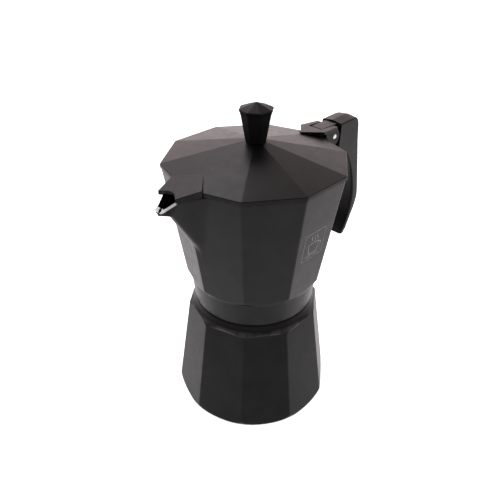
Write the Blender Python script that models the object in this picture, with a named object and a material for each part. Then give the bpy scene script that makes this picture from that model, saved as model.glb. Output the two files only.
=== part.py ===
"""Ten-sided stove-top moka pot, built as the separate pieces it comes apart into.

All sizes in this file are in millimetres and new_object turns them into metres. The pot stands on
z = 0 with its axis on Z, its spout toward -X and its handle toward +X. Every facet ring has a
corner on -X and one on +X.
"""
import bpy
import bmesh
from math import cos, pi, radians, sin, tan
from mathutils import Matrix, Vector

MM = 0.001
FACETS = 10
ROUND = 40                      # sides of a large turned surface
FINE = 20                       # sides of a small turned surface
GAP = 0.3                       # clearance between pieces that touch
FLAT = cos(pi / FACETS)         # facet distance over corner radius

# Driving dimensions
LID_R = 54.0                    # lid corner radius
RIM_Z = 169.1                   # top of the upper chamber
LID_Z = 171.7                   # top edge of the lid's rim
APEX_RISE = 11.9                # height of the lid's pyramid over LID_Z
BODY_R, WAIST_R = 53.3, 42.94   # upper chamber corner radius at the rim and at the waist
WAIST_Z = 98.8
COLLAR_TOP_R, COLLAR_LOW_R = 40.2, 38.6
COLLAR_TOP_Z, COLLAR_LOW_Z = 95.5, 79.2
SHOULDER_R, SHOULDER_Z = 43.07, 71.6
BASE_R, BASE_Z = 53.0, 5.73
WALL = 2.6

# Boiler neck, seal and funnel
NECK_R, NECK_BORE_R, NECK_Z = 33.4, 30.4, 91.5
PITCH = 3.0
MALE_CREST_R, FEMALE_CREST_R, COLLAR_BORE_R = 34.7, 33.8, 35.1
SEAT_Z = 95.7                   # underside of the upper chamber's floor, inside the collar
CUP_R, FUNNEL_TUBE_R = 29.9, 5.0

# Hinge and handle
PIN_X, PIN_Z, PIN_R = 64.7, 168.4, 1.6
LUG_SWEEP = 11.3                # radius about the pin that the lid keeps clear of the lug
LUG_HALF = 4.4
EAR_IN, EAR_OUT = 5.1, 8.1
ARM_X = 71.3                    # inner end of the handle's arm, at its lower edge
SCREW_X = 76.6
MORTISE = (82.0, 158.0, 170.2)  # end x, floor z and roof z of the slot in the arm

# Safety valve, on the facet that faces +Y
VALVE_Z = 55.0


def slope(lower, upper):
    """Change of radius per millimetre of height along a facet corner."""
    return (upper[0] - lower[0]) / (upper[1] - lower[1])


BODY_SLOPE = slope((WAIST_R, WAIST_Z), (BODY_R, RIM_Z))
BOILER_SLOPE = slope((BASE_R, BASE_Z), (SHOULDER_R, SHOULDER_Z))


def body_corner(z):
    """Corner radius of the upper chamber's outside at height z."""
    return WAIST_R + (z - WAIST_Z) * BODY_SLOPE


def boiler_corner(z):
    """Corner radius of the boiler's outside at height z."""
    return BASE_R + (z - BASE_Z) * BOILER_SLOPE


# ---------------------------------------------------------------- mesh helpers

def clear_scene():
    for old in list(bpy.data.objects):
        bpy.data.objects.remove(old)


def make_material(name, color, roughness, metallic):
    mat = bpy.data.materials.new(name)
    mat.use_nodes = True
    shader = mat.node_tree.nodes["Principled BSDF"]
    shader.inputs["Base Color"].default_value = (*color, 1.0)
    shader.inputs["Roughness"].default_value = roughness
    shader.inputs["Metallic"].default_value = metallic
    return mat


def new_object(name, points, faces):
    """Make an object from points in millimetres, with its faces turned outward."""
    mesh = bpy.data.meshes.new(name)
    mesh.from_pydata([Vector(p) * MM for p in points], [], faces)
    work = bmesh.new()
    work.from_mesh(mesh)
    bmesh.ops.recalc_face_normals(work, faces=work.faces)
    work.to_mesh(mesh)
    work.free()
    obj = bpy.data.objects.new(name, mesh)
    bpy.context.scene.collection.objects.link(obj)
    return obj


def loft(name, sections, closed=False):
    """Skin a list of equal closed loops; the ends are capped unless the row closes on itself."""
    size = len(sections[0])
    points = [p for section in sections for p in section]
    faces = []
    last = len(sections) if closed else len(sections) - 1
    for row in range(last):
        here, there = row * size, (row + 1) % len(sections) * size
        for i in range(size):
            j = (i + 1) % size
            faces.append((here + i, here + j, there + j, there + i))
    if not closed:
        faces.append(tuple(range(size)))
        faces.append(tuple(range(len(points) - size, len(points))))
    return new_object(name, points, faces)


def turned(name, profile, sides=ROUND, centre=(0.0, 0.0), start=0.0):
    """Spin a closed (radius, z) outline about a vertical axis; radius 0 is a point on it."""
    points, rings = [], []
    for radius, z in profile:
        count = 1 if radius < 1e-6 else sides
        rings.append(list(range(len(points), len(points) + count)))
        for k in range(count):
            angle = 2 * pi * k / sides + start
            points.append((centre[0] + radius * cos(angle), centre[1] + radius * sin(angle), z))
    faces = []
    for low, high in zip(rings, rings[1:] + rings[:1]):
        if len(low) == 1 and len(high) == 1:
            continue
        for k in range(sides):
            n = (k + 1) % sides
            if len(low) == 1:
                faces.append((low[0], high[k], high[n]))
            elif len(high) == 1:
                faces.append((low[k], low[n], high[0]))
            else:
                faces.append((low[k], low[n], high[n], high[k]))
    return new_object(name, points, faces)


def prism(name, outline, lower, upper):
    """Extrude an (x, y) outline from lower to upper, each a height or a function of x."""
    low = lower if callable(lower) else lambda x: lower
    high = upper if callable(upper) else lambda x: upper
    sections = [[(x, y, low(x)) for x, y in outline], [(x, y, high(x)) for x, y in outline]]
    return loft(name, sections)


def side_plate(name, outline, y_from, y_to):
    """Extrude an (x, z) outline along Y."""
    return loft(name, [[(x, y, z) for x, z in outline] for y in (y_from, y_to)])


def cylinder(name, radius, low, high, sides=FINE, centre=(0.0, 0.0)):
    """A rod whose corners stay off the pot's own planes, so that cuts meet cleanly."""
    outline = [(0, low), (radius, low), (radius, high), (0, high)]
    return turned(name, outline, sides, centre, 0.11)


def combine(target, tool, operation):
    """Cut, join or intersect target with tool, then throw the tool away."""
    step = target.modifiers.new(operation, "BOOLEAN")
    step.operation = operation
    step.object = tool
    graph = bpy.context.evaluated_depsgraph_get()
    graph.update()
    shaped = bpy.data.meshes.new_from_object(target.evaluated_get(graph))
    target.modifiers.remove(step)
    weld(shaped)
    target.data = shaped
    bpy.data.objects.remove(tool)
    return target


def weld(mesh):
    """Merge points less than a micrometre apart, which a cut can leave behind."""
    work = bmesh.new()
    work.from_mesh(mesh)
    bmesh.ops.remove_doubles(work, verts=work.verts, dist=1e-6)
    bmesh.ops.dissolve_degenerate(work, dist=1e-6, edges=work.edges)
    work.to_mesh(mesh)
    work.free()


def cut(target, *tools):
    for tool in tools:
        combine(target, tool, "DIFFERENCE")
    return target


def join(target, *tools):
    for tool in tools:
        combine(target, tool, "UNION")
    return target


def finish(obj, material, axis=None, angle=20.0):
    """Shade smooth up to an angle, give the material and hang the object on its axis."""
    obj.data.materials.clear()
    obj.data.materials.append(material)
    obj.data.shade_smooth()
    obj.data.set_sharp_from_angle(angle=radians(angle))
    if axis is not None:
        obj.parent = axis
        obj.matrix_parent_inverse = axis.matrix_world.inverted()
    return obj


def make_axis(name, place):
    """An empty on a joint's axis, given in millimetres."""
    axis = bpy.data.objects.new(name, None)
    axis.location = Vector(place) * MM
    axis.empty_display_size = 0.01
    bpy.context.scene.collection.objects.link(axis)
    bpy.context.view_layer.update()
    return axis


def thread_ridge(name, root, crest, start_z, turns, phase):
    """A helical ridge whose crest fades out over its first and last quarter turn."""
    steps = int(ROUND * turns)
    fade = ROUND / 4
    flank = 0.5 if crest > root else -0.5
    sections = []
    for k in range(steps + 1):
        angle = 2 * pi * k / ROUND + phase
        z = start_z + PITCH * k / ROUND
        height = min(1.0, k / fade, (steps - k) / fade)
        tip = root + (crest - root) * max(height, 0.05)
        inside = root - flank
        loop = [(inside, z - 0.85), (tip, z - 0.25), (tip, z + 0.25), (inside, z + 0.85)]
        sections.append([(r * cos(angle), r * sin(angle), h) for r, h in loop])
    return loft(name, sections)


# ---------------------------------------------------------------- boiler

def make_boiler(material):
    top = NECK_Z
    base = [(0, 0), (48.8, 0), (50.8, 0.7), (52.1, 2.3), (52.8, 4.1), (53.3, 7.0)]
    # the shoulder is a turned hollow, which meets the facets in shallow scallops
    shoulder = [(45.2, SHOULDER_Z - 1.0), (41.95, SHOULDER_Z + 0.8), (40.3, 73.8), (39.5, 75.1),
                (38.8, 76.8), (38.0, COLLAR_LOW_Z - 0.5), (NECK_R, COLLAR_LOW_Z - 0.5)]
    boiler = turned("boiler", base + shoulder + [(NECK_R, top), (0, top)])
    block = [(0, -1), (boiler_corner(-1), -1), (boiler_corner(top + 1), top + 1), (0, top + 1)]
    combine(boiler, turned("facets", block, FACETS), "INTERSECT")
    inner_top = boiler_corner(70) * FLAT - 3.2
    inner_low = boiler_corner(8) * FLAT - 3.2
    hollow = [(0, 4), (inner_low - 3.5, 4), (inner_low, 7.5), (inner_top, 70),
              (inner_top - 2.2, 73.6), (NECK_BORE_R, 77.5), (NECK_BORE_R, top + 1), (0, top + 1)]
    cut(boiler, turned("hollow", hollow))
    join(boiler, thread_ridge("thread", NECK_R, MALE_CREST_R, 82.5, 2.5, 0.0))
    hole = cylinder("valve_hole", 5.0, -8, 4)
    hole.matrix_world = valve_frame()
    cut(boiler, hole)
    return finish(boiler, material, angle=10.0)


# ---------------------------------------------------------------- safety valve

def valve_frame():
    """The valve's own frame: origin on the facet, +Z along the facet's outward normal."""
    apothem = boiler_corner(VALVE_Z) * FLAT
    tilt = Matrix.Rotation(-pi / 2 - BOILER_SLOPE * FLAT, 4, "X")
    return Matrix.Translation(Vector((0, apothem, VALVE_Z)) * MM) @ tilt


def hexagon(across_flats):
    radius = across_flats / 2 / cos(pi / 6)
    return [(radius * cos(k * pi / 3), radius * sin(k * pi / 3)) for k in range(6)]


def make_valve(brass, rubber, steel):
    axis = make_axis("valve_axis", (0, 0, 0))
    axis.matrix_world = valve_frame()
    body = turned("valve_body", [(0, -6.5), (4.6, -6.5), (4.6, 2.0), (5.4, 2.0), (5.4, 8.6),
                                 (4.9, 9.2), (0, 9.2)], FINE)
    join(body, prism("hex", hexagon(13), 1.5, 5.6))
    bore = [(0, -7), (1.3, -7), (1.3, -5), (2.7, -5), (2.7, 10), (0, 10)]
    cut(body, turned("bore", bore, FINE))
    washer = turned("valve_washer", [(4.95, GAP), (6.4, GAP), (6.4, 1.2), (4.95, 1.2)], FINE)
    plunger = turned("valve_plunger", [(0, -4.7), (2.3, -4.7), (2.3, -3.7), (0.8, -3.3),
                                       (0.8, 9.0), (0.5, 9.5), (0, 9.5)], FINE)
    retainer = turned("valve_retainer", [(1.2, 7.6), (2.4, 7.6), (2.4, 8.5), (1.2, 8.5)], FINE)
    spring = valve_spring(1.75, 0.28, -3.1, 7.0, 5.5)
    pieces = [(body, brass), (washer, rubber), (plunger, brass), (retainer, steel),
              (spring, steel)]
    for piece, material in pieces:
        finish(piece, material)
        piece.parent = axis


def valve_spring(coil_r, wire_r, low, high, turns):
    steps = int(turns * 12)
    sections = []
    for k in range(steps + 1):
        angle = 2 * pi * k / 12
        z = low + (high - low) * k / steps
        loop = []
        for j in range(5):
            around = 2 * pi * j / 5
            r = coil_r + wire_r * cos(around)
            loop.append((r * cos(angle), r * sin(angle), z + wire_r * sin(around)))
        sections.append(loop)
    return loft("valve_spring", sections)


# ---------------------------------------------------------------- funnel and seal

def drill_rings(plate, rings, radius, low, high):
    """Drill rings of holes, given as (pitch circle radius, count)."""
    points, faces = [], []
    for circle, count in rings:
        for k in range(count):
            angle = 2 * pi * (k + 0.3) / count
            place = (circle * cos(angle), circle * sin(angle))
            drill = cylinder("drill", radius, low, high, 6, place)
            first = len(points)
            points += [v.co / MM for v in drill.data.vertices]
            faces += [[first + i for i in face.vertices] for face in drill.data.polygons]
            bpy.data.objects.remove(drill)
    cut(plate, new_object("drills", points, faces))


def make_funnel(aluminium, steel):
    cup = [(CUP_R - 0.9, 92.6), (32.9, 92.6), (32.9, NECK_Z + GAP), (CUP_R, NECK_Z + GAP),
           (CUP_R, 72.0), (6.4, 62.0), (6.4, 54.0), (FUNNEL_TUBE_R + GAP, 54.0),
           (FUNNEL_TUBE_R + GAP, 62.6), (CUP_R - 0.9, 72.6)]
    finish(turned("funnel_basket", cup), aluminium)
    bore = FUNNEL_TUBE_R - 0.8
    tube = [(bore, 9.0), (FUNNEL_TUBE_R, 9.0), (FUNNEL_TUBE_R, 61.5), (bore, 61.5)]
    finish(turned("funnel_tube", tube, FINE), aluminium)
    screen = cylinder("funnel_screen", CUP_R - 1.2, 72.95, 73.75, ROUND)
    drill_rings(screen, [(7.0, 6), (15.0, 10)], 0.9, 72.0, 75.0)
    finish(screen, steel)


def make_seal(rubber, aluminium, axis):
    gasket = [(28.0, 92.9), (34.7, 92.9), (34.7, 95.4), (28.0, 95.4)]
    finish(turned("gasket", gasket), rubber, axis)
    plate = cylinder("filter_plate", 30.4, SEAT_Z + 0.05, SEAT_Z + 0.75, ROUND)
    drill_rings(plate, [(7.0, 6), (15.0, 10)], 0.9, SEAT_Z - 1, SEAT_Z + 2)
    finish(plate, aluminium, axis)


# ---------------------------------------------------------------- upper chamber

SPOUT_ROOT, SPOUT_TIP = 0.92 * LID_R, 1.295 * LID_R     # distances from the pot's axis
SPOUT_ROOT_HALF, SPOUT_TIP_HALF = 0.224 * LID_R, 0.055 * LID_R
KEEL_ROOT, KEEL_BEND = 0.893 * LID_R, 1.165 * LID_R     # where the keel leaves the body and flattens
KEEL_LOW_Z, KEEL_TIP_Z = LID_Z - 0.695 * LID_R, LID_Z - 0.174 * LID_R
KEEL_RISE, KEEL_END_RISE = 1.71, 0.44
LIP_START = 1.158 * LID_R       # where the bare lip starts to slope down
LIP_TIP_Z = LID_Z - 0.118 * LID_R


def keel_height(x):
    """Height of the spout's lower edge: it climbs steeply, then flattens toward the tip."""
    return min(KEEL_LOW_Z + KEEL_RISE * (x - KEEL_ROOT), KEEL_TIP_Z + KEEL_END_RISE * (x - SPOUT_TIP))


def lip_height(x):
    drop = (RIM_Z - LIP_TIP_Z) / (SPOUT_TIP - LIP_START)
    return RIM_Z - drop * max(x - LIP_START, 0.0)


def spout(name, inset, top):
    """The beak: V-shaped sections that rise and narrow toward the tip."""
    reach = SPOUT_TIP - inset
    stations = [0.78 * LID_R] + [KEEL_ROOT + (KEEL_BEND - KEEL_ROOT) * t / 4 for t in range(4)]
    stations += [KEEL_BEND - 1.2, KEEL_BEND + 0.6, (KEEL_BEND + reach) / 2, reach]
    sections = []
    for x in stations:
        along = (x - SPOUT_ROOT) / (SPOUT_TIP - SPOUT_ROOT)
        half = SPOUT_ROOT_HALF + (SPOUT_TIP_HALF - SPOUT_ROOT_HALF) * along - inset
        keel = keel_height(x) + inset
        level = lip_height(x)
        low = keel + 0.05 * (level - keel)
        sections.append([(-x, -half, top), (-x, -half, level), (-x, -0.3 * half, low), (-x, 0, keel),
                         (-x, 0.3 * half, low), (-x, half, level), (-x, half, top)])
    return loft(name, sections)


def rim_trim():
    """Everything above the rim, and above the sloping cut of the spout's lip."""
    far = SPOUT_TIP + 4
    outline = [(70, RIM_Z), (-LIP_START, RIM_Z), (-far, lip_height(far)), (-far, RIM_Z + 20),
               (70, RIM_Z + 20)]
    return side_plate("trim", outline, -70, 70)


def make_lug():
    """The rear lug: its inner top is an arc about the pin, so the lid's edge swings past it."""
    arc, sweep = [], LUG_SWEEP - 2 * GAP
    for k in range(5):
        angle = radians(180 - 35 * k / 4)
        arc.append((PIN_X + sweep * cos(angle), PIN_Z + sweep * sin(angle)))
    end_x, floor_z, roof_z = MORTISE
    outline = [(47.5, 148.0), (60.0, 151.5), (ARM_X, floor_z + 1.0), (end_x - 1.0, floor_z + 1.0),
               (end_x - 1.0, roof_z - 0.7), (ARM_X - 0.8, roof_z - 0.7), (ARM_X - 0.8, 174.5)]
    outline += arc[::-1] + [(50.0, PIN_Z)]
    lug = side_plate("lug", outline, -LUG_HALF, LUG_HALF)
    bore = cylinder("pin_bore", PIN_R + 0.02, -10, 10)
    bore.matrix_world = pin_frame()
    cut(lug, bore)
    return cut(lug, cylinder("screw_bore", 1.45, 150, roof_z - 2.5, FINE, (SCREW_X, 0)))


def make_collector(material, axis):
    top = RIM_Z + 3
    envelope = [(0, COLLAR_LOW_Z), (COLLAR_LOW_R, COLLAR_LOW_Z), (COLLAR_TOP_R, COLLAR_TOP_Z),
                (41.3, 97.2), (WAIST_R, WAIST_Z), (60, 112), (60, top + 1), (0, top + 1)]
    collector = turned("collector", envelope)
    # the facets end just below the collar's top edge, so they leave the collar round
    end = COLLAR_TOP_Z - 0.3
    block = [(0, 70), (50, 70), (50, end), (body_corner(end), end), (body_corner(top), top),
             (0, top)]
    combine(collector, turned("facets", block, FACETS), "INTERSECT")
    join(collector, spout("beak", 0, top))
    cut(collector, rim_trim(), chamber(), spout("channel", 1.7, top + 1))
    join(collector, make_lug_outside())
    brew = [(0, COLLAR_LOW_Z - 1), (COLLAR_BORE_R, COLLAR_LOW_Z - 1), (COLLAR_BORE_R, SEAT_Z),
            (30.8, SEAT_Z), (30.8, 96.8), (26.0, 97.0), (8.0, 103.0), (3.6, 106.0),
            (3.6, 147.0), (0, 147.0)]
    cut(collector, turned("brew_path", brew))
    cut(collector, prism("outlets", [(-9, -1.6), (9, -1.6), (9, 1.6), (-9, 1.6)], 142.5, 146.9))
    # the female ridge sits half a pitch from the male one
    join(collector, thread_ridge("thread", COLLAR_BORE_R, FEMALE_CREST_R, 82.5, 2.5, pi))
    return finish(collector, material, axis, 10.0)


def chamber():
    """The coffee space: a faceted hollow that leaves the central column standing."""
    thick = WALL / FLAT
    low, top = 100.3, RIM_Z + 5
    hollow = turned("chamber", [(0, low), (body_corner(low) - thick - 1.5, low),
                                (body_corner(low + 2) - thick, low + 2),
                                (body_corner(top) - thick, top), (0, top)], FACETS)
    column = [(0, 95), (36, 95), (34, low + 0.4), (12, 106.5), (7.4, 111), (5.6, 148.5),
              (4.6, 150), (0, 150)]
    return cut(hollow, turned("column", column, FINE))


def make_lug_outside():
    """The lug with the part of it that would stand inside the chamber cut away."""
    thick = 1.0
    core = [(0, 120), (body_corner(120) - thick, 120), (body_corner(RIM_Z) - thick, RIM_Z),
            (0, RIM_Z)]
    return cut(make_lug(), turned("core", core, FACETS))


# ---------------------------------------------------------------- hinge, lid and knob

def pin_frame():
    """Frame on the hinge pin, with +Z along the pin."""
    return Matrix.Translation(Vector((PIN_X, 0, PIN_Z)) * MM) @ Matrix.Rotation(pi / 2, 4, "X")


def make_pin(material, axis):
    half = EAR_OUT + 0.5
    pin = turned("hinge_pin", [(0, -half), (PIN_R - 0.3, -half), (PIN_R - 0.03, -half + 0.4),
                               (PIN_R - 0.03, half - 0.4), (PIN_R - 0.3, half), (0, half)], FINE)
    pin.data.transform(pin_frame())
    finish(pin, material, axis)


def lid_surface(x):
    """Height of the lid's outside along the ridge toward a corner, x from the axis."""
    return LID_Z + APEX_RISE * (1 - abs(x) / LID_R)


def hood_top(x):
    """Height of the hood's top plane, x measured along the pot's own X."""
    return LID_Z + 0.058 * LID_R - 0.129 * (-x - 0.73 * LID_R)


def mirror_outline(points):
    """Close an outline given for one side of Y = 0, from its inner end to its outer end."""
    return points + [(x, -y) for x, y in reversed(points) if y != 0]


def hood(name, points, lower, drop):
    outline = [(-x * LID_R, y * LID_R) for x, y in mirror_outline(points)]
    return prism(name, outline, lower, lambda x: hood_top(x) - drop)


def make_lid(material, axis):
    lip_r, lip_z = 49.9, 166.4
    profile = [(0, lip_z), (lip_r, lip_z), (lip_r, RIM_Z + GAP), (LID_R, RIM_Z + GAP),
               (LID_R, LID_Z), (6.2, lid_surface(6.2)), (0, lid_surface(6.2))]
    lid = turned("lid", profile, FACETS)
    join(lid, hood("hood", [(0.725, 0), (0.942, 0.222), (1.183, 0.128)], RIM_Z + GAP, 0))
    inner_r = lip_r - 1.8
    inner = [(0, lip_z - 1), (inner_r, lip_z - 1), (inner_r, lid_surface(inner_r) - 2.0),
             (6.2, lid_surface(6.2) - 2.0), (0, lid_surface(6.2) - 2.0)]
    cut(lid, turned("inside", inner, FACETS))
    cut(lid, hood("hood_inside", [(0.80, 0), (0.93, 0.178), (1.32, 0.022)], lip_z - 1, 1.9))
    cut(lid, hood("notch", [(1.113, 0), (1.127, 0.046), (1.183, 0.126), (1.26, 0.232)],
                  lip_z - 1, -5))
    rear = cylinder("lug_clearance", LUG_SWEEP, -EAR_IN, EAR_IN, ROUND)
    rear.matrix_world = pin_frame()
    cut(lid, rear)
    cut(lid, cylinder("knob_hole", 2.2, LID_Z, LID_Z + 20))
    for y in PEG_Y:
        cut(lid, peg("peg_hole", y, PEG_R + GAP, -8, 8))
    return finish(lid, material, axis, 6.0)


PEG_X, PEG_Y, PEG_R = 0.83 * LID_R, (-2.5, 2.5), 1.2


def peg(name, y, radius, low, high):
    """A short cylinder square to the lid's rear ridge, measured from the lid's outside."""
    rod = cylinder(name, radius, low, high, 12)
    lean = Matrix.Rotation(APEX_RISE / LID_R, 4, "Y")
    place = Vector((PEG_X, y, lid_surface(PEG_X)))
    rod.matrix_world = Matrix.Translation(place * MM) @ lean
    return rod


def bracket_top(x):
    return LID_Z + 0.077 * LID_R - 0.0602 * (x - 0.742 * LID_R)


def make_bracket(material, axis):
    """The hinge plate: a thin arrow-shaped plate with two ears, pegged through the lid."""
    rear = PIN_X + 2.2
    side = mirror_outline([(0.742 * LID_R, 0), (0.952 * LID_R, 0.178 * LID_R), (rear, EAR_OUT)])
    bracket = prism("hinge_bracket", side, lambda x: bracket_top(x) - 1.7, bracket_top)
    ear = ear_outline()
    for sign in (-1, 1):
        join(bracket, side_plate("ear", ear, sign * EAR_IN, sign * EAR_OUT))
    near, far = 0.79 * LID_R, 0.94 * LID_R
    foot = [(near, LID_Z), (far, LID_Z), (far, LID_Z + 2.5), (near, LID_Z + 3)]
    join(bracket, side_plate("foot", foot, -4, 4))
    # the underside follows the lid and stays clear of it
    clear = [(0, LID_Z - 5), (LID_R + 0.2, LID_Z - 5), (LID_R + 0.2, LID_Z + GAP),
             (0, lid_surface(0) + GAP)]
    cut(bracket, turned("clearance", clear, FACETS))
    slot = [(LID_R, -EAR_IN), (rear + 5, -EAR_IN), (rear + 5, EAR_IN), (LID_R, EAR_IN)]
    cut(bracket, prism("slot", slot, LID_Z - 20, LID_Z + 10))
    for y in PEG_Y:
        join(bracket, peg("peg", y, PEG_R, -2.8, 1.2), peg("peg_head", y, 1.7, -3.4, -2.6))
    bore = cylinder("pin_bore", PIN_R + 0.03, -12, 12)
    bore.matrix_world = pin_frame()
    cut(bracket, bore)
    return finish(bracket, material, axis)


def ear_outline():
    """Side view of an ear: a tapered web from the plate round to below the pin."""
    below = []
    for k in range(7):
        angle = radians(-100 + 145 * k / 6)
        below.append((PIN_X + 5.0 * cos(angle), PIN_Z - 0.9 + 5.3 * sin(angle)))
    front = [(1.02 * LID_R, bracket_top(1.02 * LID_R) - 0.5), (1.02 * LID_R, LID_Z + 0.9),
             (1.045 * LID_R, LID_Z - 2.6), (1.13 * LID_R, LID_Z - 6.2)]
    return front + below + [(PIN_X + 2.2, bracket_top(PIN_X + 2.2) - 0.5)]


def make_knob(plastic, brass, steel, axis):
    seat = lid_surface(6.2) + GAP
    profile = [(2.6, seat), (6.1, seat), (6.5, seat + 4), (7.5, seat + 10.5), (9.7, seat + 16.6),
               (9.5, seat + 17.5), (0, seat + 21.2), (0, seat + 12.5), (2.6, seat + 12.5)]
    turn = Matrix.Rotation(radians(180 + 58.7), 4, "Z")
    knob = turned("knob", profile, 8)
    knob.data.transform(turn)
    finish(knob, plastic, axis)
    insert = [(1.75, seat + 0.6), (2.3, seat + 0.6), (2.3, seat + 12.2), (1.75, seat + 12.2)]
    finish(turned("knob_insert", insert, FINE), brass, axis)
    under = lid_surface(6.2) - 2.0
    washer = [(2.0, under - 1.1), (4.4, under - 1.1), (4.4, under - GAP), (2.0, under - GAP)]
    finish(turned("knob_washer", washer, FINE), steel, axis)
    screw = [(0, under - 3.9), (2.4, under - 3.7), (3.7, under - 2.6), (3.7, under - 1.4),
             (1.5, under - 1.4), (1.5, seat + 11.5), (0, seat + 11.5)]
    finish(turned("knob_screw", screw, FINE), steel, axis)


# ---------------------------------------------------------------- handle

HANDLE_HALF = 7.8


def handle_sections():
    """Cross-sections from the arm's inner end round to the tip of the grip.

    Each row is (outer x, outer z, inner x, inner z) as multiples of the lid radius from the pot's
    axis and from the lid's edge.
    """
    rows = [(1.335, 0.064, 1.320, -0.290), (1.48, 0.070, 1.45, -0.305), (1.60, 0.073, 1.53, -0.40),
            (1.667, 0.065, 1.580, -0.475), (1.705, 0.00, 1.612, -0.53), (1.723, -0.18, 1.648, -0.60),
            (1.781, -0.45, 1.690, -0.70), (1.851, -0.77, 1.737, -0.86), (1.906, -1.03, 1.765, -1.03),
            (1.906, -1.12, 1.766, -1.15), (1.868, -1.24, 1.745, -1.28), (1.796, -1.39, 1.700, -1.39),
            (1.731, -1.54, 1.640, -1.52), (1.700, -1.635, 1.628, -1.60)]
    for outer_x, outer_z, inner_x, inner_z in rows:
        yield (Vector((outer_x * LID_R, LID_Z + outer_z * LID_R)),
               Vector((inner_x * LID_R, LID_Z + inner_z * LID_R)))


def make_handle(plastic, steel, axis):
    """A flat strap with a low ridge along the middle of its outer side."""
    sections = []
    rows = list(handle_sections())
    for outer, inner in rows:
        out = (outer - inner).normalized()
        half = HANDLE_HALF if inner != rows[-1][1] else 0.85 * HANDLE_HALF
        crest = outer + out * 0.35
        edge = outer - out * 0.65
        cheek = inner + out * 0.8
        loop = [(crest, 0), (edge, half), (cheek, half), (inner, half - 1.2),
                (inner, -half + 1.2), (cheek, -half), (edge, -half)]
        sections.append([(p.x, y, p.y) for p, y in loop])
    handle = loft("handle", sections)
    end_x, floor_z, roof_z = MORTISE
    slot = LUG_HALF + GAP
    box = [(ARM_X - 3, -slot), (end_x, -slot), (end_x, slot), (ARM_X - 3, slot)]
    cut(handle, prism("mortise", box, floor_z, roof_z))
    head_z = floor_z - 1.6
    cut(handle, cylinder("screw_hole", 2.0, 140, floor_z + 1, FINE, (SCREW_X, 0)))
    cut(handle, cylinder("screw_recess", 3.9, 140, head_z, FINE, (SCREW_X, 0)))
    finish(handle, plastic, axis)
    washer = [(1.9, head_z - 0.9), (3.6, head_z - 0.9), (3.6, head_z - GAP), (1.9, head_z - GAP)]
    centre = (SCREW_X, 0)
    finish(turned("handle_washer", washer, FINE, centre), steel, axis)
    screw = [(0, head_z - 2.4), (3.0, head_z - 2.4), (3.2, head_z - 1.2), (1.4, head_z - 1.2),
             (1.4, roof_z - 3.2), (0, roof_z - 3.2)]
    finish(turned("handle_screw", screw, FINE, centre), steel, axis)


# ---------------------------------------------------------------- the whole pot

def build():
    clear_scene()
    coated = make_material("coated_aluminium", (0.045, 0.041, 0.042), 0.38, 0.5)
    coated_lid = make_material("coated_lid", (0.05, 0.046, 0.047), 0.38, 0.5)
    coated_body = make_material("coated_body", (0.042, 0.039, 0.04), 0.38, 0.5)
    aluminium = make_material("bare_aluminium", (0.75, 0.75, 0.76), 0.3, 1.0)
    brass = make_material("brass", (0.72, 0.53, 0.24), 0.3, 1.0)
    steel = make_material("steel", (0.6, 0.6, 0.6), 0.25, 1.0)
    rubber = make_material("white_rubber", (0.78, 0.76, 0.7), 0.6, 0.0)
    plastic = make_material("black_plastic", (0.02, 0.02, 0.022), 0.35, 0.0)

    make_boiler(coated)
    make_valve(brass, rubber, steel)
    make_funnel(aluminium, steel)
    make_seal(rubber, aluminium, make_axis("seal_axis", (0, 0, SEAT_Z)))
    turning = make_axis("collector_axis", (0, 0, COLLAR_LOW_Z))
    make_collector(coated_body, turning)
    make_handle(plastic, steel, turning)
    make_pin(steel, turning)
    hinge = make_axis("lid_axis", (PIN_X, 0, PIN_Z))
    make_lid(coated_lid, hinge)
    make_bracket(coated_lid, hinge)
    make_knob(plastic, brass, steel, hinge)


build()
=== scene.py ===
"""Looks of the ten-sided moka pot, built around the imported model.

Lengths are in millimetres until mesh_object turns them into metres. The pot's axis is Z, its spout
points toward -X and its handle toward +X. Every facet ring has a corner on -X and one on +X.
"""

from math import cos, pi, radians, sin, tan

import bmesh
import bpy
import numpy as np
from mathutils import Matrix, Vector
from mathutils.geometry import delaunay_2d_cdt


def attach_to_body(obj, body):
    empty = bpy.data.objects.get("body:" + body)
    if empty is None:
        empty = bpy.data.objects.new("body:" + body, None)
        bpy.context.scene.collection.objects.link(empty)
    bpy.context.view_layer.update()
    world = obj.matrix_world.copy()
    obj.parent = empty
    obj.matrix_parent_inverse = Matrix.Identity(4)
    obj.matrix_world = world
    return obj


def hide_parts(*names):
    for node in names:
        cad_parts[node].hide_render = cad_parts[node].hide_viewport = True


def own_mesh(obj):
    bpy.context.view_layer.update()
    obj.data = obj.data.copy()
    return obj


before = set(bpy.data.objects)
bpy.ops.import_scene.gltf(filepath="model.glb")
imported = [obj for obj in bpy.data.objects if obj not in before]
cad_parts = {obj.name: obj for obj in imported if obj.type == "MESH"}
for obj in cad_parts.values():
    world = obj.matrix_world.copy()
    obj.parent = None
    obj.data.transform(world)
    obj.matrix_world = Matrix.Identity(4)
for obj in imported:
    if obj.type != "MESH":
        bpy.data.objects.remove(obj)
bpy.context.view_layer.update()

MM = 0.001
FACETS = 10
HALF_STEP = pi / FACETS
FLAT = cos(HALF_STEP)           # facet distance over corner radius
CORNER_POWER = 300              # how crisp the facet corners are
ROUND = 96                      # sides of a turned surface
GAP = 0.3                       # clearance between pieces that touch

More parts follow.
